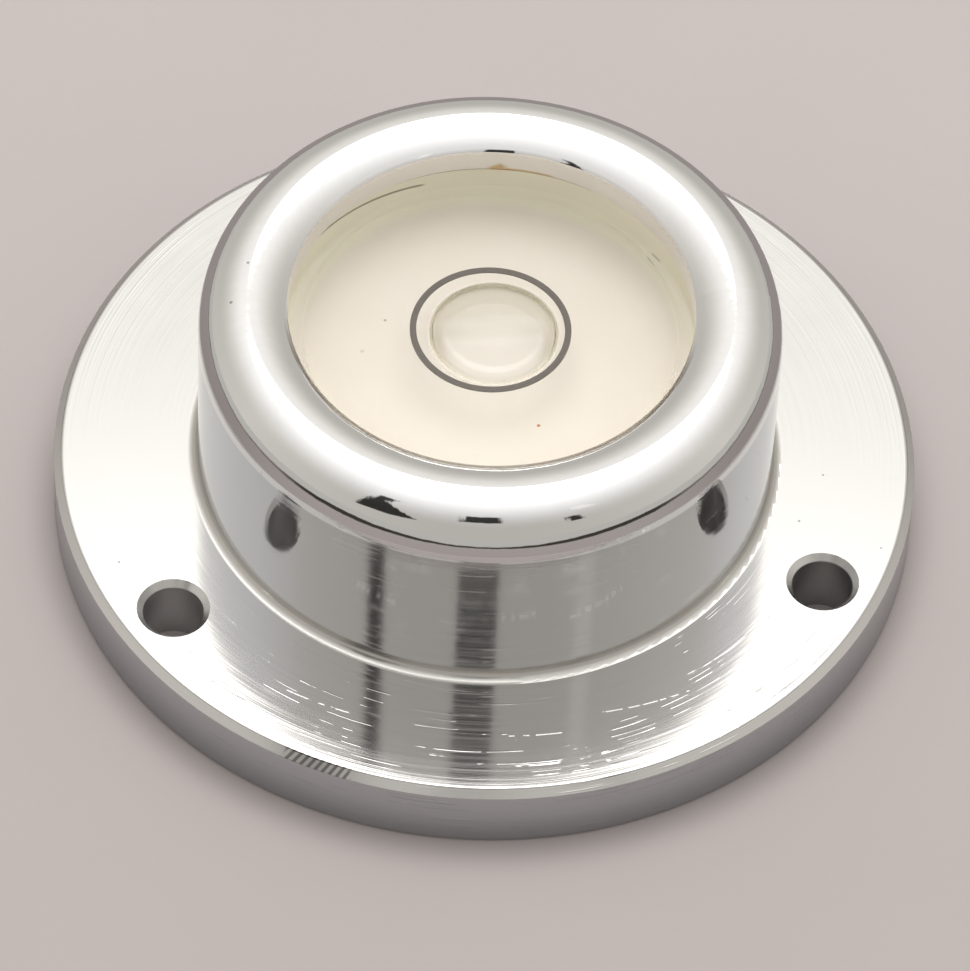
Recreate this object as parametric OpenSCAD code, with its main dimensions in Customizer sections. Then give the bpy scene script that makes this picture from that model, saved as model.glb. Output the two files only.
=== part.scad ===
// Bullseye level: a sealed glass vial set in a turned metal housing with a screw flange.
// The origin is the centre of the flange's underside and +Z points up through the bubble.
// Every piece is a body of revolution, so each is drawn as a section: x is radius, y is height.

/* [Vial] */
// Outer diameter of the vial
vial_d = 27.6; // [24:0.1:40]
// Thickness of the lens at its edge
lens_h = 1.55; // [1.2:0.05:3]
// Radius of the hollow ground into the lens, which sets the level's sensitivity
ground_r = 300; // [150:10:400]
// Bevel round the top edge of the lens
lens_bevel = 0.3; // [0.1:0.05:0.5]
// Wall thickness of the glass cup
cup_wall = 1.5; // [0.8:0.05:2]
// Floor thickness of the glass cup
cup_floor = 1.15; // [0.8:0.05:2]
// Depth of the spirit at the wall of the cup
cell_depth = 2.75; // [2.3:0.05:4.5]
// Fillet inside the cup where its wall meets its floor
cup_inner_fillet = 0.5; // [0.2:0.05:0.9]
// Rounded lower edge outside the cup
cup_outer_round = 0.4; // [0.2:0.05:1]

/* [Setting] */
// Gap round the vial that the plaster and the seal fill
setting_gap = 0.4875; // [0.3:0.0125:1.5]
// Depth of the sealing bead below the lens seat
seal_h = 1.2; // [0.8:0.05:1.8]
// Recess of the plaster above the flange's underside
plaster_recess = 0.6; // [0.2:0.05:1.5]

/* [Collar and rim] */
// Height from the underside to the top of the rim
overall_h = 20.65; // [16:0.05:30]
// Wall of the collar round the bore
collar_wall = 4.7625; // [3:0.0125:7]
// Radius of the rim's outer round
rim_r = 3.175; // [2.5:0.025:4]
// Radius of the flatter curve from the top of the rim in to the lip
rim_inner_r = 3.9; // [3.4:0.05:6]
// How far the lip reaches in over the vial
lip_overlap = 0.5; // [0.4:0.05:1.5]
// Depth of the lens face below the top of the rim
lens_drop = 2.6; // [2:0.05:3]
// Fillet where the collar meets the flange
foot_fillet = 0.65; // [0.2:0.05:1]

/* [Flange] */
// Width of the flange beyond the collar
flange_w = 9.525; // [8:0.025:20]
// Thickness of the flange
flange_h = 5; // [3:0.1:7]
// Chamfer round the flange's top edge
flange_chamfer = 0.5; // [0.2:0.05:1]
// Broken edge round the flange's underside
base_break = 0.2; // [0.1:0.05:0.4]

/* [Screw holes] */
// Number of screw holes
hole_count = 3; // [3:1:6]
// Distance from the flange's edge to a hole's centre
hole_inset = 3.975; // [3.6:0.005:4.8]
// Diameter of a screw hole
hole_d = 4; // [3:0.1:4.6]
// Chamfer at the mouth of a screw hole
hole_chamfer = 0.4; // [0.2:0.05:0.6]
// Direction of the first screw hole from +X
hole_start = 90; // [0:5:355]

/* [Index ring] */
// Outer diameter of the index ring
ring_d = 10.55; // [8:0.05:16]
// Width of the ring's line
ring_line = 0.42; // [0.2:0.02:0.6]
// Depth of the groove that holds the line's paint
ring_depth = 0.12; // [0.06:0.02:0.3]

/* [Bubble] */
// Diameter of the bubble
bubble_d = 8.7; // [6:0.1:12]
// Radius of the bubble's rounded edge
bubble_edge_r = 1; // [0.7:0.05:1.1]
// Depth of the bubble's widest line below the lens
bubble_widest = 0.85; // [0.5:0.05:1]
// Swell of the bubble's underside below its rounded edge
bubble_belly = 0.35; // [0.1:0.05:0.5]
// Where the bubble rests across the ring
bubble_x = 0.22; // [-0.5:0.01:0.5]
// Where the bubble rests along the ring
bubble_y = -0.02; // [-0.5:0.01:0.5]

/* [Hidden] */

turn_fn = 144;
arc_fn = 96;
small_fn = 48;
ground_fn = 720;
over = 1;

// The housing is sized outward from the vial: gap, collar wall, then flange
vial_r = vial_d / 2;
bore_r = vial_r + setting_gap;
collar_r = bore_r + collar_wall;
flange_r = collar_r + flange_w;
hole_circle_r = flange_r - hole_inset;

// The outer round and the inner curve of the rim meet at its top; the lip is bored straight
rim_centre_r = collar_r - rim_r;
rim_centre_z = overall_h - rim_r;
rim_inner_z = overall_h - rim_inner_r;
opening_r = vial_r - lip_overlap;

seat_z = overall_h - lens_drop;
seal_z = seat_z - seal_h;
land_z = seat_z - lens_h;

cell_r = vial_r - cup_wall;
cell_floor_z = land_z - cell_depth;
cup_bottom_z = cell_floor_z - cup_floor;

ground_sag = ground_r - sqrt(ground_r * ground_r - cell_r * cell_r);
ground_centre_z = land_z + ground_sag - ground_r;

ring_r = ring_d / 2;
ring_top_z = land_z + ground_sag + ring_depth;

bubble_edge_centre_r = bubble_d / 2 - bubble_edge_r;
bubble_widest_z = land_z + ground_sag - bubble_widest;
bubble_rise = bubble_edge_r + bubble_belly;
// The belly is the arc that runs tangent into the rounded edge
bubble_belly_r = (pow(bubble_edge_centre_r, 2) + pow(bubble_rise, 2) - pow(bubble_edge_r, 2))
    / (2 * bubble_belly);
bubble_belly_z = bubble_widest_z - bubble_rise + bubble_belly_r;
// Angle from straight down at which the belly hands over to the rounded edge
bubble_blend = asin(bubble_edge_centre_r / (bubble_belly_r - bubble_edge_r));
bubble_blend_r = bubble_edge_centre_r + bubble_edge_r * sin(bubble_blend);
bubble_blend_z = bubble_widest_z - bubble_edge_r * cos(bubble_blend);

// Section helpers

module band(inner, outer, low, high) {
    translate([inner, low]) square([outer - inner, high - low]);
}

// The material that a fillet leaves in the corner of two faces
module fillet(size) {
    difference() {
        square(size);
        translate([size, size]) circle(r = size, $fn = small_fn);
    }
}

module turned() {
    rotate_extrude($fn = turn_fn) children();
}

// The ball that the ground hollow is part of; the lens lies above it
module ground_circle() {
    translate([0, ground_centre_z]) circle(r = ground_r, $fn = ground_fn);
}

function ground_z(r) = ground_centre_z + sqrt(ground_r * ground_r - r * r);

// Housing: flange, collar and rounded rim, turned in one piece and bored from below

module flange_section() {
    polygon([
        [0, 0],
        [flange_r - base_break, 0],
        [flange_r, base_break],
        [flange_r, flange_h - flange_chamfer],
        [flange_r - flange_chamfer, flange_h],
        [0, flange_h]
    ]);
}

module housing_section() {
    difference() {
        union() {
            flange_section();
            band(opening_r, collar_r, flange_h - over, rim_centre_z);
            translate([collar_r, flange_h]) fillet(foot_fillet);
            translate([rim_centre_r, rim_centre_z]) circle(r = rim_r, $fn = arc_fn);
            intersection() {
                translate([rim_centre_r, rim_inner_z]) circle(r = rim_inner_r, $fn = arc_fn);
                band(opening_r, rim_centre_r, rim_centre_z, overall_h);
            }
        }
        band(-over, bore_r, -over, seat_z);
        band(-over, opening_r, -over, overall_h);
    }
}

module screw_hole() {
    translate([0, 0, -over]) cylinder(d = hole_d, h = flange_h + 2 * over, $fn = small_fn);
    translate([0, 0, flange_h - hole_chamfer])
        cylinder(d1 = hole_d, d2 = hole_d + 4 * hole_chamfer, h = 2 * hole_chamfer, $fn = small_fn);
}

module housing() {
    color([0.86, 0.86, 0.87]) difference() {
        turned() housing_section();
        for (i = [0 : hole_count - 1])
            rotate([0, 0, hole_start + i * 360 / hole_count]) translate([hole_circle_r, 0, 0]) screw_hole();
    }
}

// Vial: a ground lens closes a glass cup

module lens_outline() {
    polygon([
        [0, land_z],
        [vial_r, land_z],
        [vial_r, seat_z - lens_bevel],
        [vial_r - lens_bevel, seat_z],
        [0, seat_z]
    ]);
}

module index_groove() {
    band(ring_r - ring_line, ring_r, land_z, ring_top_z);
}

module sight_lens() {
    color([0.9, 0.93, 0.86, 0.4]) turned() difference() {
        lens_outline();
        ground_circle();
        index_groove();
    }
}

// The paint is wiped level with the ground face
module index_ring() {
    color([0.24, 0.21, 0.18]) turned() polygon([
        [ring_r - ring_line, ground_z(ring_r - ring_line)],
        [ring_r, ground_z(ring_r)],
        [ring_r, ring_top_z],
        [ring_r - ring_line, ring_top_z]
    ]);
}

// The space inside the cup, up to the level where the lens closes it
module cell_section() {
    difference() {
        band(0, cell_r, cell_floor_z, land_z);
        translate([cell_r, cell_floor_z]) mirror([1, 0]) fillet(cup_inner_fillet);
    }
}

module cup_outline() {
    difference() {
        band(0, vial_r, cup_bottom_z, land_z);
        translate([vial_r, cup_bottom_z]) mirror([1, 0]) fillet(cup_outer_round);
    }
}

module vial_cup() {
    color([0.86, 0.9, 0.78, 0.4]) turned() difference() {
        cup_outline();
        cell_section();
    }
}

// Spirit fills the cell and the dome of the lens, less the bubble

module spirit_section() {
    cell_section();
    intersection() {
        band(0, cell_r, land_z, land_z + ground_sag + over);
        ground_circle();
    }
}

module bubble_section() {
    // Rounded edge
    translate([bubble_edge_centre_r, bubble_widest_z]) circle(r = bubble_edge_r, $fn = small_fn);
    // Belly, cut off where it reaches the rounded edge
    intersection() {
        translate([0, bubble_belly_z]) circle(r = bubble_belly_r, $fn = ground_fn);
        polygon([
            [0, bubble_widest_z],
            [bubble_edge_centre_r, bubble_widest_z],
            [bubble_blend_r, bubble_blend_z],
            [bubble_blend_r, bubble_widest_z - bubble_rise - over],
            [0, bubble_widest_z - bubble_rise - over]
        ]);
    }
    // The top, where the bubble lies against the lens
    band(0, bubble_edge_centre_r, bubble_widest_z, land_z + ground_sag + over);
}

module spirit() {
    color([0.93, 0.95, 0.8, 0.3]) difference() {
        turned() spirit_section();
        translate([bubble_x, bubble_y, 0]) turned() bubble_section();
    }
}

// Setting: a bead seals the lens under the rim and plaster holds the vial

module sealing_bead() {
    color([0.72, 0.5, 0.28]) turned() difference() {
        band(vial_r - lens_bevel, bore_r, seal_z, seat_z);
        lens_outline();
    }
}

module setting_plaster() {
    color([0.95, 0.91, 0.84]) turned() difference() {
        band(0, bore_r, plaster_recess, seal_z);
        band(-over, vial_r, land_z, seal_z + over);
        cup_outline();
    }
}

housing();
sight_lens();
vial_cup();
spirit();
index_ring();
sealing_bead();
setting_plaster();
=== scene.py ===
import math

import bmesh
import bpy
from mathutils import Matrix, Vector


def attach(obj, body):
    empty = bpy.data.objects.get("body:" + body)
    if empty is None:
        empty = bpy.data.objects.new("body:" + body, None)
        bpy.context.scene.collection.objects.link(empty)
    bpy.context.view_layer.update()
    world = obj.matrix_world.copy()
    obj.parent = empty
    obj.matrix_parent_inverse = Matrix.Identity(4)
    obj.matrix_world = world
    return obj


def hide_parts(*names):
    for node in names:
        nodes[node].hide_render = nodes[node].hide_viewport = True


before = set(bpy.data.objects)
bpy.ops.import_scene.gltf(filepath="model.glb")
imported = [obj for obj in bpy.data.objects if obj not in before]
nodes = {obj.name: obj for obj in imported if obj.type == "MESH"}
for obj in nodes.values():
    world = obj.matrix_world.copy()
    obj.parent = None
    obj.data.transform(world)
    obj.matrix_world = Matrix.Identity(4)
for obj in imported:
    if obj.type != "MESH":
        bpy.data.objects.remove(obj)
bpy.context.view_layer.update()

scene = bpy.context.scene
MM = 0.001

# Sizes in mm, as in the part's source
VIAL_R, OPENING_R = 13.8, 13.3
HOLE_R, HOLE_CIRCLE_R = 2.0, 24.6
SEAT_Z, LAND_Z, CUP_FLOOR_Z, CUP_BOTTOM_Z = 18.05, 16.5, 13.75, 12.6
LENS_BEVEL, CELL_R, GROUND_R = 0.3, 12.3, 300.0
INNER_FILLET, OUTER_ROUND = 0.5, 0.4
RING_R, RING_LINE, RING_DEPTH = 5.275, 0.42, 0.12
GROUND_SAG = GROUND_R - math.sqrt(GROUND_R ** 2 - CELL_R ** 2)
GROUND_CZ = LAND_Z + GROUND_SAG - GROUND_R
BUBBLE_X, BUBBLE_Y = 0.22, -0.02
BUBBLE_R, BUBBLE_EDGE, BUBBLE_WIDEST, BUBBLE_BELLY = 4.35, 1.0, 0.85, 0.35
HOLE_AT = [math.radians(a) for a in (90, 210, 330)]

# Refraction at each face of the vial, as the ratio between its two sides
IOR_LENS_TOP, IOR_LENS_SPIRIT, IOR_CUP_SPIRIT, IOR_BUBBLE = 1.52, 1.063, 1.03, 1.43
# Steps round the axis of a turned piece, and the gap between two pieces of glass in mm
TURN_STEPS, GAP = 256, 0.015

# The camera stands this far round from -Y
TURN = math.radians(-6.43)
TURN_COS, TURN_SIN = math.cos(TURN), math.sin(TURN)

WHITE, BLACK = (1, 1, 1, 1), (0, 0, 0, 1)

# Wear on the flange: scratched arcs as cosine from and to, then radius from and to
SCRATCHES = (
    (-0.593, -0.434, 24.10, 23.84),
    (0.26, 0.49, 23.04, 23.87),
    (-0.01, 0.15, 23.87, 24.0),
)
# Specks and nicks on the metal, as x, y and size
SPECKS = (
    (-24.67, -8.31, 0.11), (22.24, -3.36, 0.10), (20.26, -7.16, 0.12),
    (25.43, -9.70, 0.09), (-15.64, 3.69, 0.13), (-16.92, 0.52, 0.14),
)


# Helpers for meshes

def ground_z(r):
    return GROUND_CZ + math.sqrt(GROUND_R ** 2 - r * r)


def lathe(name, rings, smooth_angle=30.0, centre=(0.0, 0.0)):
    """A closed body of revolution from a closed outline of (radius, height) points in mm."""
    bm = bmesh.new()
    cx, cy = centre
    angles = [2 * math.pi * i / TURN_STEPS for i in range(TURN_STEPS)]
    rows = []
    for r, z in rings:
        round_axis = angles if r >= 1e-6 else [0.0]
        rows.append([
            bm.verts.new(((cx + r * math.cos(a)) * MM, (cy + r * math.sin(a)) * MM, z * MM))
            for a in round_axis
        ])
    for a, b in zip(rows, rows[1:] + rows[:1]):
        if len(a) == 1 and len(b) == 1:
            continue
        for i in range(TURN_STEPS):
            j = (i + 1) % TURN_STEPS
            quad = [a[i % len(a)], a[j % len(a)], b[j % len(b)], b[i % len(b)]]
            bm.faces.new(list(dict.fromkeys(quad)))
    bmesh.ops.recalc_face_normals(bm, faces=bm.faces)
    me = bpy.data.meshes.new(name)
    bm.to_mesh(me)
    bm.free()
    me.shade_smooth()
    me.set_sharp_from_angle(angle=math.radians(smooth_angle))
    ob = bpy.data.objects.new(name, me)
    scene.collection.objects.link(ob)
    return ob


def arc(cr, cz, radius, start, end, steps):
    """Points on an arc, angles in degrees from +r."""
    angles = [math.radians(start + (end - start) * i / steps) for i in range(steps + 1)]
    return [(cr + radius * math.cos(a), cz + radius * math.sin(a)) for a in angles]


def face_slots(ob, choose):
    """Give each face the slot that choose returns for its radius, its height and its normal's z."""
    for p in ob.data.polygons:
        c = p.center / MM
        p.material_index = choose(math.hypot(c.x, c.y), c.z, p.normal.z)


def dress(ob, *materials):
    ob.data.materials.clear()
    for m in materials:
        ob.data.materials.append(m)


# Helpers for materials

class Graph:
    """Short calls that build a node tree; any value may be a number or a socket."""

    def __init__(self, tree):
        self.tree = tree

    def put(self, socket, value):
        if isinstance(value, bpy.types.NodeSocket):
            self.tree.links.new(value, socket)
        else:
            socket.default_value = value

    def node(self, kind, inputs=None, **attrs):
        n = self.tree.nodes.new(kind)
        for k, v in attrs.items():
            setattr(n, k, v)
        for k, v in (inputs or {}).items():
            self.put(n.inputs[k], v)
        return n

    def math(self, op, a, b=0.0, c=0.0):
        return self.node("ShaderNodeMath", {0: a, 1: b, 2: c}, operation=op).outputs[0]

    def add(self, a, b):
        return self.math("ADD", a, b)

    def sub(self, a, b):
        return self.math("SUBTRACT", a, b)

    def mul(self, *values):
        out = values[0]
        for v in values[1:]:
            out = self.math("MULTIPLY", out, v)
        return out

    def weigh(self, offset, *terms):
        """The offset plus value times weight, over the (value, weight) pairs."""
        for value, weight in terms:
            offset = self.math("MULTIPLY_ADD", value, weight, offset)
        return offset

    def most(self, *values):
        """The largest of the values."""
        out = values[0]
        for v in values[1:]:
            out = self.math("MAXIMUM", out, v)
        return out

    def clamp(self, value, lo, hi):
        return self.node("ShaderNodeClamp", {"Value": value, "Min": lo, "Max": hi}).outputs[0]

    def step(self, value, lo, hi, out_lo=0.0, out_hi=1.0):
        """Smooth step from out_lo at lo to out_hi at hi."""
        ends = {0: value, 1: lo, 2: hi, 3: out_lo, 4: out_hi}
        return self.node("ShaderNodeMapRange", ends, interpolation_type="SMOOTHSTEP").outputs[0]

    def fall(self, value, lo, hi):
        """Smooth fall from 1 at lo to 0 at hi."""
        return self.step(value, lo, hi, 1.0, 0.0)

    def band(self, value, lo, hi, soft):
        """1 between lo and hi, 0 outside, with soft edges."""
        return self.mul(self.step(value, lo - soft, lo + soft), self.fall(value, hi - soft, hi + soft))

    def mix(self, fac, a, b):
        """Colour mix."""
        ends = {"Factor": fac, 6: a, 7: b}
        return self.node("ShaderNodeMix", data_type="RGBA", inputs=ends).outputs[2]

    def lerp(self, fac, a, b):
        """Number mix."""
        ends = {"Factor": fac, 2: a, 3: b}
        return self.node("ShaderNodeMix", data_type="FLOAT", inputs=ends).outputs[0]

    def mix_shader(self, fac, a, b):
        return self.node("ShaderNodeMixShader", {0: fac, 1: a, 2: b}).outputs[0]

    def xyz(self, x, y, z):
        return self.node("ShaderNodeCombineXYZ", {0: x, 1: y, 2: z}).outputs[0]

    def vector(self, op, a, b):
        return self.node("ShaderNodeVectorMath", {0: a, 1: b}, operation=op).outputs

    def dot(self, a, b):
        return self.vector("DOT_PRODUCT", a, b)["Value"]

    def noise(self, vector, scale, detail, rough=0.5, w=None):
        settings = {"Vector": vector, "Scale": scale, "Detail": detail, "Roughness": rough}
        n = self.node("ShaderNodeTexNoise", noise_dimensions="3D" if w is None else "4D")
        if w is not None:
            settings["W"] = w
        for k, v in settings.items():
            self.put(n.inputs[k], v)
        return n.outputs[0]

    def bump(self, height, strength, distance):
        settings = {"Strength": strength, "Distance": distance, "Height": height}
        return self.node("ShaderNodeBump", settings).outputs[0]

    def place(self):
        """Position in mm in the row frame, also seen in plan, and the direction round the axis."""
        obj = self.node("ShaderNodeTexCoord").outputs["Object"]
        scaled = self.node("ShaderNodeVectorMath", {0: obj, "Scale": 1 / MM}, operation="SCALE")
        mm = scaled.outputs[0]
        x, y, z = self.node("ShaderNodeSeparateXYZ", {0: mm}).outputs
        r = self.math("SQRT", self.weigh(self.mul(y, y), (x, x)))
        safe = self.math("MAXIMUM", r, 0.001)
        return {"p": mm, "x": x, "y": y, "z": z, "r": r, "plan": self.xyz(x, y, 0.0),
                "c": self.math("DIVIDE", x, safe), "s": self.math("DIVIDE", y, safe)}

    def away(self, at, x, y):
        """Distance from the upright line at x, y."""
        return self.vector("DISTANCE", at["plan"], (x, y, 0.0))["Value"]

    def spot(self, at, x, y, size):
        """1 within size of the upright line at x, y, with a soft edge."""
        return self.fall(self.away(at, x, y), size * 0.5, size)


def material(name):
    m = bpy.data.materials.new(name)
    m.use_nodes = True
    m.node_tree.nodes.clear()
    return m, Graph(m.node_tree)


def surface(g, shader):
    g.node("ShaderNodeOutputMaterial", {"Surface": shader})


SOCKETS = {
    "color": "Base Color", "rough": "Roughness", "metal": "Metallic", "normal": "Normal", "ior": "IOR",
    "aniso": "Anisotropic", "turn": "Anisotropic Rotation", "tangent": "Tangent",
    "specular": "Specular IOR Level", "trans": "Transmission Weight",
}


def principled(g, **values):
    inputs = {SOCKETS[k]: v for k, v in values.items()}
    return g.node("ShaderNodeBsdfPrincipled", inputs).outputs[0]


# Bright metal of the housing

def housing_metal():
    m, g = material("turned_aluminium")
    at = g.place()
    r, z, c, s = at["r"], at["z"], at["c"], at["s"]
    section = g.xyz(c, s, r)

    def rings(reach, pitch, detail, shift=0.0):
        """Noise in rings: reach is how fast it changes round the axis, pitch along the section."""
        v = g.vector("MULTIPLY", section, (reach, reach, pitch))[0]
        return g.noise(v, 1.0, detail, w=g.weigh(shift, (z, pitch)))

    def by_radius(inner, outer):
        """The flange's outer third is cut more coarsely than the rest."""
        return g.step(r, 24.0, 27.4, inner, outer)

    # Regions of the metal
    on_rim = g.step(z, 16.7, 16.95)
    on_flange = g.fall(z, 5.02, 5.3)
    on_top = g.step(z, 4.9, 4.95)
    on_chamfer = g.mul(g.step(z, 4.4, 4.55), g.step(r, 28.0, 28.1), g.fall(z, 4.93, 4.98))
    on_side = g.mul(g.step(r, 28.3, 28.4), g.fall(z, 4.4, 4.5))
    on_foot = g.mul(g.fall(r, 19.68, 19.80), g.fall(z, 5.55, 5.7), on_top)
    lip_bore = g.mul(on_rim, g.fall(r, OPENING_R + 0.02, OPENING_R + 0.06), g.fall(z, 19.5, 19.66))
    front = g.fall(s, -0.3, -0.1)
    # How far the nearest screw hole's centre is
    holes = [g.away(at, HOLE_CIRCLE_R * math.cos(a), HOLE_CIRCLE_R * math.sin(a)) for a in HOLE_AT]
    hole = g.math("MINIMUM", g.math("MINIMUM", holes[0], holes[1]), holes[2])
    in_hole = g.mul(g.fall(hole, HOLE_R + 0.02, HOLE_R + 0.06), g.fall(z, 4.6, 4.7))
    hole_mouth = g.mul(g.fall(hole, HOLE_R + 0.38, HOLE_R + 0.46), g.fall(z, 4.96, 4.99))
    cut_edge = g.most(on_chamfer, hole_mouth)
    # Where the surface faces left, right or back, the flange mirrors the tent without lines
    sideways = g.most(g.step(g.math("ABSOLUTE", c), 0.62, 0.86), g.step(s, -0.3, 0.0))

    fine = rings(1.5, 9.0, 2.0)
    coarse = rings(1.0, 2.4, 2.0, 11.0)
    lines = rings(2.2, 5.0, 1.0, 23.0)
    broken = g.noise(at["p"], 0.45, 2.0)
    polish = g.noise(at["p"], 0.55, 2.0)
    dimples = g.noise(at["p"], 1.5, 3.0)
    grooves = g.mul(g.step(lines, 0.60, 0.66), g.step(broken, 0.46, 0.56), g.lerp(sideways, 1.0, 0.06))

    # Height in mm: the flange's top edge is rolled over by the tool, the lip's corner is rounded
    edge = g.clamp(g.add(r, -27.93), 0.0, 0.145)
    corner = g.clamp(g.sub(OPENING_R + 0.2, r), 0.0, 0.2)
    flange_h = g.weigh(
        0.0, (fine, by_radius(0.0012, 0.0035)),
        (g.mul(coarse, by_radius(0.006, 0.011)), g.lerp(sideways, 1.0, 0.35)),
        (grooves, by_radius(0.005, 0.010)), (g.mul(edge, edge), -1.7))
    wall_h = g.weigh(0.0, (fine, 0.0013), (coarse, 0.0042), (grooves, 0.0025))
    rim_h = g.weigh(0.0, (polish, 0.012), (dimples, 0.0035), (fine, 0.0003), (g.mul(corner, corner), -0.4))
    height = g.lerp(on_rim, g.lerp(on_flange, wall_h, flange_h), rim_h)

    rough = g.lerp(on_rim, g.lerp(on_flange, 0.075, by_radius(0.10, 0.11)), 0.045)
    rough = g.lerp(cut_edge, rough, 0.30)
    rough = g.weigh(rough, (g.weigh(-0.02, (broken, 0.04)), g.lerp(on_rim, 1.0, 0.2)))

    # Painted shade: the wall is tinted darker and warmer where it faces the camera, lighter and bluer
    # where it faces left, right or back
    wall_tint = g.mix(sideways, (0.605, 0.595, 0.585, 1), (0.69, 0.705, 0.735, 1))
    # Painted shade: the flange's upright side is tinted darker and bluer than its top
    flange_tint = g.mix(on_side, (0.64, 0.63, 0.615, 1), (0.60, 0.615, 0.64, 1))
    tint = g.mix(on_rim, g.mix(on_flange, wall_tint, flange_tint), (0.88, 0.88, 0.875, 1))
    tint = g.mix(cut_edge, tint, (0.75, 0.74, 0.72, 1))
    # Painted shade: the screw holes' bores are tinted lighter on the left than on the right
    hole_tint = g.mix(g.step(at["x"], -5.0, 5.0), (0.65, 0.65, 0.645, 1), (0.48, 0.48, 0.475, 1))
    tint = g.mix(in_hole, tint, hole_tint)
    # The inner edge of the lip, where it turns down to the glass, is painted dark at the front: a painted
    # dark reflection along the edge that faces the camera
    dark_lip_reflection = g.mul(on_rim, g.fall(g.weigh(r, (s, 0.18)), OPENING_R + 0.20, OPENING_R + 0.33),
                     g.fall(g.weigh(s, (c, 0.13)), -0.42, -0.12))
    tint = g.mix(dark_lip_reflection, tint, (0.42, 0.39, 0.36, 1))
    # The fillet at the collar's foot is less polished
    rough = g.lerp(on_foot, rough, 0.24)
    tint = g.mix(on_foot, tint, (0.66, 0.645, 0.615, 1))
    # The straight bore of the lip is matt, as the tool left it
    rough = g.lerp(lip_bore, rough, 0.38)
    tint = g.mix(lip_bore, tint, (0.93, 0.915, 0.90, 1))

    # Wear: arcs scratched on the flange
    arcs = []
    for c_lo, c_hi, r_lo, r_hi in SCRATCHES:
        slope = (r_hi - r_lo) / (c_hi - c_lo)
        off = g.math("ABSOLUTE", g.sub(r, g.weigh(r_lo - c_lo * slope, (c, slope))))
        arcs.append(g.mul(g.band(c, c_lo, c_hi, 0.004), g.fall(off, 0.025, 0.06)))
    skips = g.step(g.noise(at["p"], 1.6, 1.0), 0.40, 0.48)
    scratch = g.mul(g.most(*arcs), on_flange, on_top, front, skips)
    rough = g.lerp(scratch, rough, 0.5)
    tint = g.mix(scratch, tint, (0.95, 0.94, 0.92, 1))
    # Wear: a bruised stretch of the flange's chamfer
    waves = g.math("SINE", g.weigh(g.mul(r, 9.0), (c, 400.0)))
    ticks = g.mul(g.step(waves, -0.3, 0.5), g.band(c, -0.52, -0.376, 0.006), front,
                  g.step(r, 27.95, 28.05), g.step(z, 4.4, 4.5))
    tint = g.mix(g.mul(ticks, 0.75), tint, (0.16, 0.15, 0.14, 1))
    # Wear: specks and nicks
    specks = g.most(*(g.spot(at, *speck) for speck in SPECKS))
    tint = g.mix(g.mul(specks, on_top, 0.7), tint, (0.20, 0.19, 0.17, 1))
    # Wear: a brown stain at the lip's foot, with a thin trail to its right
    rear_bore = g.mul(lip_bore, g.step(at["y"], 0.0, 1.0))
    aside = g.math("ABSOLUTE", g.add(at["x"], -1.6))
    blot = g.mul(g.band(at["x"], 0.7, 2.0, 0.35), g.fall(g.weigh(z, (aside, 0.5)), 18.35, 18.75))
    trail = g.mul(g.band(at["x"], 1.2, 5.0, 0.3), g.fall(z, 18.12, 18.2))
    stain = g.mul(rear_bore, g.most(g.mul(blot, 0.8), g.mul(trail, 0.7)))
    tint = g.mix(stain, tint, (0.66, 0.45, 0.17, 1))

    tangent = g.node("ShaderNodeTangent", direction_type="RADIAL", axis="Z").outputs[0]
    surface(g, principled(g, color=tint, rough=rough, metal=1.0, normal=g.bump(height, 1.0, MM),
                          aniso=0.7, turn=0.25, tangent=tangent))
    return m


# Materials of the vial

def glass(name, ior, color=WHITE, shade=1.0):
    """Clear glass to the eye; light that falls on what lies under it comes straight in."""
    m, g = material(name)
    through_tint = WHITE
    if shade < 1.0:
        # Painted shade: the bubble's sides and its far half are tinted darker than the rest, and where its
        # skin is seen edge on it passes less light, a painted shadow on what lies under it
        at = g.place()
        by = g.add(at["y"], -BUBBLE_Y)
        out = g.away(at, BUBBLE_X, BUBBLE_Y)
        sides = g.mul(g.step(out, 3.15, 3.8), g.step(by, -3.2, -1.2, 0.2, 1.0))
        rear = g.step(by, 0.6, 1.5, 0.0, 0.7)
        color = g.mix(g.most(sides, rear), WHITE, (0.765, 0.75, 0.68, 1))
        edge_on = g.node("ShaderNodeLayerWeight", {"Blend": 0.5}).outputs["Facing"]
        through_tint = g.mix(edge_on, WHITE, (shade, shade, shade, 1))
    body = principled(g, color=color, rough=0.0, trans=1.0, ior=ior)
    through = g.node("ShaderNodeBsdfTransparent", {"Color": through_tint}).outputs[0]
    path = g.node("ShaderNodeLightPath").outputs
    lit = g.most(path["Is Shadow Ray"], path["Is Diffuse Ray"])
    surface(g, g.mix_shader(lit, body, through))
    return m


def clear(name):
    m, g = material(name)
    surface(g, g.node("ShaderNodeBsdfTransparent", {"Color": WHITE}).outputs[0])
    return m


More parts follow.
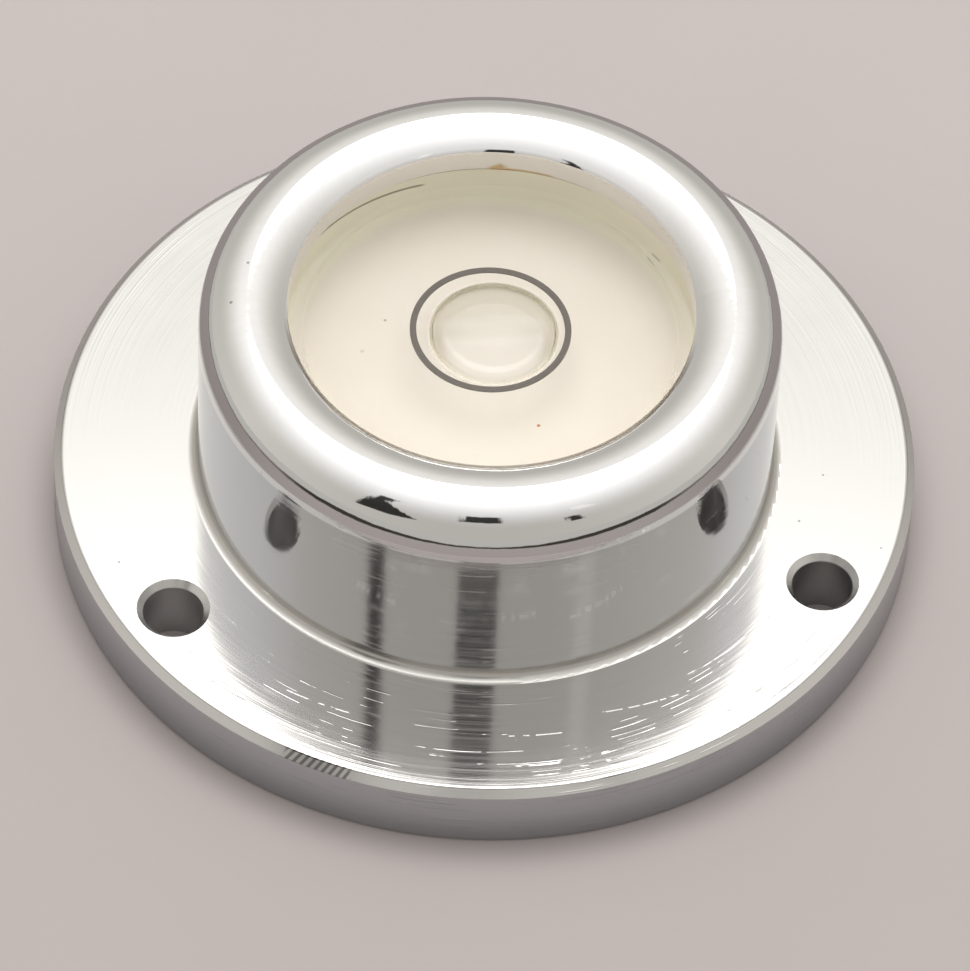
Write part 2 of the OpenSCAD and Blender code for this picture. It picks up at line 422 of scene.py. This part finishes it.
def plaster_material():
    m, g = material("cream_plaster")
    at = g.place()
    grain = g.noise(at["p"], 9.0, 4.0, 0.6)
    cloud = g.noise(at["p"], 0.35, 2.0)
    wall = g.step(at["r"], CELL_R, VIAL_R - 0.05)
    cream = g.mix(cloud, (0.90, 0.832, 0.745, 1), (0.935, 0.872, 0.80, 1))
    # Painted shade: the floor is darkened towards the back, in the rear lip's shadow, and towards the wall
    painted_shade = g.mul(g.step(at["y"], -11.0, 8.0, 1.0, 0.90), g.step(at["r"], 6.0, 11.5, 1.0, 0.95))
    cream = g.mix(painted_shade, BLACK, cream)
    green = g.mix(cloud, (0.885, 0.855, 0.715, 1), (0.925, 0.895, 0.765, 1))
    color = g.mix(wall, cream, green)
    # A dark joint in the wall at the rear left, sloping down to its right
    at_wall = g.step(at["r"], 13.5, 13.7)
    joint_z = g.weigh(15.35 - 0.276 * 1.9, (at["c"], -1.9))
    off = g.math("ABSOLUTE", g.sub(at["z"], joint_z))
    joint = g.mul(at_wall, g.step(at["s"], 0.0, 0.2), g.band(at["c"], -0.77, -0.25, 0.02),
                  g.fall(off, 0.10, 0.24))
    # A brown mark at the right
    brown = g.mul(g.spot(at, 11.6, 7.45, 0.6), g.band(at["z"], 12.8, 13.05, 0.06), at_wall)
    marks = g.mul(g.most(joint, g.mul(brown, 0.5)), 0.8)
    color = g.mix(marks, color, (0.17, 0.125, 0.06, 1))
    # Three grains of dust
    color = g.mix(g.spot(at, 2.74, -6.19, 0.15), color, (0.55, 0.22, 0.03, 1))
    for x, y, size, deep in ((-6.64, 3.2, 0.13, 0.65), (-8.31, 0.65, 0.19, 0.25)):
        color = g.mix(g.mul(g.spot(at, x, y, size), deep), color, (0.22, 0.2, 0.18, 1))
    surface(g, principled(g, color=color, rough=0.75, normal=g.bump(grain, 0.6, 0.02 * MM), specular=0.3))
    return m


def paint_material():
    m, g = material("ring_paint")
    grain = g.noise(g.place()["p"], 6.0, 3.0, 0.6)
    color = g.mix(grain, (0.075, 0.06, 0.045, 1), (0.14, 0.12, 0.10, 1))
    surface(g, principled(g, color=color, rough=0.6, normal=g.bump(grain, 0.5, 0.01 * MM), specular=0.3))
    return m


def cement_material():
    m, g = material("brown_cement")
    at = g.place()
    grain = g.noise(at["p"], 4.0, 4.0, 0.6)
    stain = g.mul(g.band(at["x"], 1.2, 2.6, 0.4), g.step(at["y"], 0.0, 1.0))
    color = g.mix(stain, g.mix(grain, (0.42, 0.39, 0.24, 1), (0.50, 0.46, 0.29, 1)),
                  g.mix(grain, (0.30, 0.13, 0.03, 1), (0.55, 0.27, 0.07, 1)))
    surface(g, principled(g, color=color, rough=0.5, normal=g.bump(grain, 0.8, 0.03 * MM), specular=0.4))
    return m


dress(nodes["housing"], housing_metal())
dress(nodes["index_ring"], paint_material())
dress(nodes["sealing_bead"], cement_material())
dress(nodes["setting_plaster"], plaster_material())

# The lens, finely turned: its polished top, and its ground underside with the ring's groove
groove_in, groove_out = RING_R - RING_LINE - GAP, RING_R + GAP
groove_top = LAND_Z + GROUND_SAG + RING_DEPTH + GAP
lens_top = SEAT_Z - GAP
lens_rings = [(0.0, lens_top), (VIAL_R - LENS_BEVEL - 0.02, lens_top), (VIAL_R - LENS_BEVEL, lens_top)]
lens_rings += [(VIAL_R, SEAT_Z - LENS_BEVEL), (VIAL_R, LAND_Z + GAP)]
outside_ring = [CELL_R * (1 - i / 16) for i in range(9)]
lens_rings += [(r, ground_z(r)) for r in outside_ring if r > groove_out + 0.1]
lens_rings += [(groove_out, ground_z(groove_out)), (groove_out, groove_top)]
lens_rings += [(groove_in, groove_top), (groove_in, ground_z(groove_in))]
lens_rings += [(r, ground_z(r)) for r in (4.0, 3.0, 2.0, 1.0, 0.0)]
lens = lathe("lens_disc", lens_rings)
dress(lens, clear("lens_side"), glass("lens_top_polish", IOR_LENS_TOP),
      glass("lens_ground_face", IOR_LENS_SPIRIT))
face_slots(lens, lambda r, z, up: 1 if up > 0.3 else 2 if up < -0.5 and r < CELL_R else 0)
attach(lens, "root")
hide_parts("sight_lens")

# The cup, with its inner fillet and outer round
cup_low = CUP_BOTTOM_Z - GAP
cup_rings = [(0.0, CUP_FLOOR_Z), (CELL_R - INNER_FILLET, CUP_FLOOR_Z)]
cup_rings += arc(CELL_R - INNER_FILLET, CUP_FLOOR_Z + INNER_FILLET, INNER_FILLET, -90, 0, 10)[1:]
cup_rings += [(CELL_R, LAND_Z - GAP), (VIAL_R + GAP, LAND_Z - GAP), (VIAL_R + GAP, cup_low + OUTER_ROUND)]
cup_rings += arc(VIAL_R + GAP - OUTER_ROUND, cup_low + OUTER_ROUND, OUTER_ROUND, 0, -90, 6)[1:]
cup_rings += [(0.0, cup_low)]
cup = lathe("glass_cup", cup_rings)
dress(cup, clear("cup_outside"), glass("cup_inside", IOR_CUP_SPIRIT, (0.985, 0.99, 0.95, 1)))
face_slots(cup, lambda r, z, up: 1 if r < CELL_R + 0.01 and z > CUP_FLOOR_Z - 0.01 else 0)
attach(cup, "root")
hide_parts("vial_cup")

# The spirit, a hair inside the glass all round
spirit_rings = [(0.0, CUP_FLOOR_Z + GAP), (CELL_R - INNER_FILLET, CUP_FLOOR_Z + GAP)]
spirit_rings += arc(CELL_R - INNER_FILLET, CUP_FLOOR_Z + INNER_FILLET, INNER_FILLET - GAP, -90, 0, 10)[1:]
spirit_rings += [(CELL_R - GAP, LAND_Z - 2 * GAP)]
dome = [(CELL_R - GAP) * (1 - i / 8) for i in range(1, 9)]
spirit_rings += [(r, ground_z(r) - 2 * GAP) for r in dome]
spirit = lathe("spirit_fill", spirit_rings)

# The bubble: flat against the lens, a rounded edge, and a shallow belly
edge_c = BUBBLE_R - BUBBLE_EDGE
top_z = LAND_Z + GROUND_SAG - 3 * GAP
widest_z = LAND_Z + GROUND_SAG - BUBBLE_WIDEST
rise = BUBBLE_EDGE + BUBBLE_BELLY
belly_r = (edge_c ** 2 + rise ** 2 - BUBBLE_EDGE ** 2) / (2 * BUBBLE_BELLY)
belly_z = widest_z - rise + belly_r
blend = math.degrees(math.asin(edge_c / (belly_r - BUBBLE_EDGE)))
contact = math.degrees(math.asin((top_z - widest_z) / BUBBLE_EDGE))
bubble_rings = [(r, top_z) for r in (0.0, 1.0, 2.0, 3.0)]
bubble_rings += arc(edge_c, widest_z, BUBBLE_EDGE, contact, -90 + blend, 48)
bubble_rings += arc(0.0, belly_z, belly_r, -90 + blend, -90, 24)[1:-1] + [(0.0, belly_z - belly_r)]
bubble = lathe("bubble_skin", bubble_rings, smooth_angle=50.0, centre=(BUBBLE_X, BUBBLE_Y))

# The skin faces into the bubble, so that the spirit lies behind it; both are one piece
bm = bmesh.new()
bm.from_mesh(bubble.data)
bmesh.ops.reverse_faces(bm, faces=bm.faces)
bm.to_mesh(bubble.data)
bm.free()
dress(spirit, clear("spirit_outside"), glass("bubble_skin", IOR_BUBBLE, shade=0.7))
dress(bubble, *spirit.data.materials)
face_slots(bubble, lambda r, z, up: 1)
both = [spirit, bubble]
with bpy.context.temp_override(active_object=spirit, object=spirit, selected_objects=both,
                               selected_editable_objects=both):
    bpy.ops.object.join()
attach(spirit, "root")
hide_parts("spirit")


# Floor: a sheet of pale paper

def floor_material():
    m, g = material("floor_paper")
    at = g.place()
    r = at["r"]
    # Along is away from the camera, across is to its right
    across = g.dot(at["p"], (TURN_COS, TURN_SIN, 0.0))
    along = g.dot(at["p"], (-TURN_SIN, TURN_COS, 0.0))
    fibre = g.noise(at["p"], 2.2, 4.0, 0.6)
    cloud = g.noise(at["p"], 0.05, 2.0)
    # Painted shade: the sheet is darker towards the camera than away from it, as the light falls from
    # behind
    near = g.mix(cloud, (0.480, 0.435, 0.427, 1), (0.500, 0.453, 0.445, 1))
    far = g.mix(cloud, (0.535, 0.488, 0.482, 1), (0.557, 0.508, 0.502, 1))
    paper = g.mix(g.step(along, -50.0, 50.0), near, far)
    # Painted contact shadow: the sheet is darkened in a ring against the flange's foot
    paper = g.mix(g.step(r, 28.6, 31.0, 0.12, 0.0), paper, (0.05, 0.045, 0.04, 1))
    # Painted shade in reflections: glossy rays see the sheet darker than the camera does, least next to
    # the piece and most where it is seen at a slant
    is_glossy = g.node("ShaderNodeLightPath").outputs["Is Glossy Ray"]
    safe = g.math("MAXIMUM", r, 1.0)
    facing = g.math("DIVIDE", g.mul(along, -1.0), safe)
    darker = g.lerp(g.step(r, 33.0, 36.0), 0.16, g.step(facing, 0.0, 0.8, 0.50, 0.30))
    paper = g.mix(g.mul(is_glossy, darker), paper, BLACK)
    sheet = principled(g, color=paper, rough=0.9, normal=g.bump(fibre, 0.5, 0.03 * MM), specular=0.1)
    # Painted reflection: glossy rays see the sheet end, with a dark gap and the pale tent beyond it, drawn
    # as emission
    diagonal = g.mul(2.0, facing, g.math("DIVIDE", across, safe))
    corner = g.mul(diagonal, diagonal, g.step(facing, 0.0, 0.2))
    away = g.sub(1.0, facing)
    over = g.weigh(g.add(r, -60.0), (g.mul(away, away), -28.0))
    reach = g.weigh(g.add(over, g.step(facing, -0.2, 0.3, -8.0, 0.0)), (corner, -24.0))
    gap_color = g.mix(g.step(facing, 0.35, 0.6), (0.20, 0.175, 0.155, 1), (0.045, 0.04, 0.035, 1))
    beyond_color = g.mix(g.step(reach, 6.0, 16.0), gap_color, (0.50, 0.485, 0.46, 1))
    beyond = g.node("ShaderNodeEmission", {"Color": beyond_color, "Strength": 1.0}).outputs[0]
    surface(g, g.mix_shader(g.mul(is_glossy, g.step(over, -3.0, 3.0)), sheet, beyond))
    return m


# Half the width of the floor, in m
FLOOR_HALF = 3.0
floor_me = bpy.data.meshes.new("floor")
floor_corners = [(x * FLOOR_HALF, y * FLOOR_HALF, 0) for x, y in ((-1, -1), (1, -1), (1, 1), (-1, 1))]
floor_me.from_pydata(floor_corners, [], [(0, 1, 2, 3)])
floor = bpy.data.objects.new("floor", floor_me)
scene.collection.objects.link(floor)
floor.data.materials.append(floor_material())

# Surroundings: a pale tent, lit from above and behind
world = bpy.data.worlds.new("tent")
scene.world = world
world.use_nodes = True
world.node_tree.nodes.clear()
g = Graph(world.node_tree)
d = g.node("ShaderNodeTexCoord").outputs["Generated"]
# Towards is the part pointing at the camera's side, aside the part to its right
towards = g.dot(d, (TURN_SIN, -TURN_COS, 0.0))
aside = g.dot(d, (TURN_COS, TURN_SIN, 0.0))
up = g.node("ShaderNodeSeparateXYZ", {0: d}).outputs[2]
elevation = g.math("ARCSINE", up)
heading = g.math("ARCTAN2", aside, towards)
c = g.math("COSINE", heading)
front = g.clamp(c, 0.0, 1.0)
back = g.clamp(g.mul(c, -1.0), 0.0, 1.0)
rad = math.radians
start = g.weigh(rad(21.0), (front, rad(5.0)), (back, rad(-11.0)))
end = g.weigh(rad(122.0), (front, rad(4.0)), (back, rad(-32.0)))
low = g.weigh(0.655, (front, -0.15), (back, -0.145))
level = g.lerp(g.step(elevation, start, end), low, 1.7)
# The tent is brightest overhead, towards the back
LAMP_EL, LAMP_GAIN, LAMP_EDGE, LAMP_CORE = rad(72.0), 3.45, rad(23.7), rad(6.0)
lamp_at = (-TURN_SIN * math.cos(LAMP_EL), TURN_COS * math.cos(LAMP_EL), math.sin(LAMP_EL))
lamp = g.step(g.dot(d, lamp_at), math.cos(LAMP_EDGE), math.cos(LAMP_CORE))
level = g.weigh(level, (lamp, LAMP_GAIN))


def patch(left, right, bottom, top, soft):
    """1 inside a patch of the tent, with its sides and soft edge in degrees."""
    return g.mul(g.band(heading, rad(left), rad(right), rad(soft)),
                 g.band(elevation, rad(bottom), rad(top), rad(soft)))


lens_hole = patch(-8.0, 8.0, 40.0, 54.0, 1.0)
# A three-cornered gap in the tent's front: upright at its left, narrowing to its right
from_left = g.add(heading, rad(43.0))
gap = g.mul(g.band(heading, rad(-44.0), rad(-22.0), rad(1.0)),
            g.fall(g.weigh(elevation, (from_left, 1.3)), rad(52.0), rad(54.0)),
            g.step(g.weigh(elevation, (from_left, -0.36)), rad(17.0), rad(19.0)))
gap_top = patch(-44.7, -38.2, 38.0, 56.0, 1.5)
small_gap = patch(32.0, 36.5, 27.0, 38.0, 1.0)
dark = g.most(lens_hole, gap, gap_top, small_gap)
pale = patch(40.0, 47.0, 48.0, 56.0, 1.5)
level = g.mul(level, g.lerp(dark, 1.0, 0.06), g.weigh(1.0, (pale, 0.2)))
warm = g.mix(g.fall(elevation, rad(20.0), rad(72.0)), (1.0, 0.99, 0.98, 1), (1.0, 0.955, 0.89, 1))
bg = g.node("ShaderNodeBackground", {"Color": warm, "Strength": level})
g.node("ShaderNodeOutputWorld", {"Surface": bg.outputs[0]})

# Camera, fitted to the photograph; its aim and distance are in mm
CAM_EL, CAM_ROLL = rad(51.166), rad(2.7491)
CAM_AIM, CAM_DISTANCE, CAM_LENS = Vector((0.123, 0.906, 0.0)), 531.58, 294.47
back_v = Vector((0, -math.cos(CAM_EL), math.sin(CAM_EL)))
right_v, up_v = Vector((1, 0, 0)), Vector((0, math.sin(CAM_EL), math.cos(CAM_EL)))
cam_right = math.cos(CAM_ROLL) * right_v + math.sin(CAM_ROLL) * up_v
cam_up = -math.sin(CAM_ROLL) * right_v + math.cos(CAM_ROLL) * up_v
spin = Matrix.Rotation(TURN, 3, "Z")
cam_place = spin @ (CAM_AIM + back_v * CAM_DISTANCE) * MM
rot = Matrix((spin @ cam_right, spin @ cam_up, spin @ back_v)).transposed()
cam = bpy.data.cameras.new("camera")
cam.lens, cam.sensor_width, cam.sensor_fit = CAM_LENS, 36.0, "AUTO"
cam.clip_start, cam.clip_end = 0.01, 20.0
cam_ob = bpy.data.objects.new("camera", cam)
cam_ob.matrix_world = Matrix.Translation(cam_place) @ rot.to_4x4()
scene.collection.objects.link(cam_ob)
scene.camera = cam_ob

scene.view_settings.view_transform = "Standard"
scene.cycles.transparent_max_bounces = 32
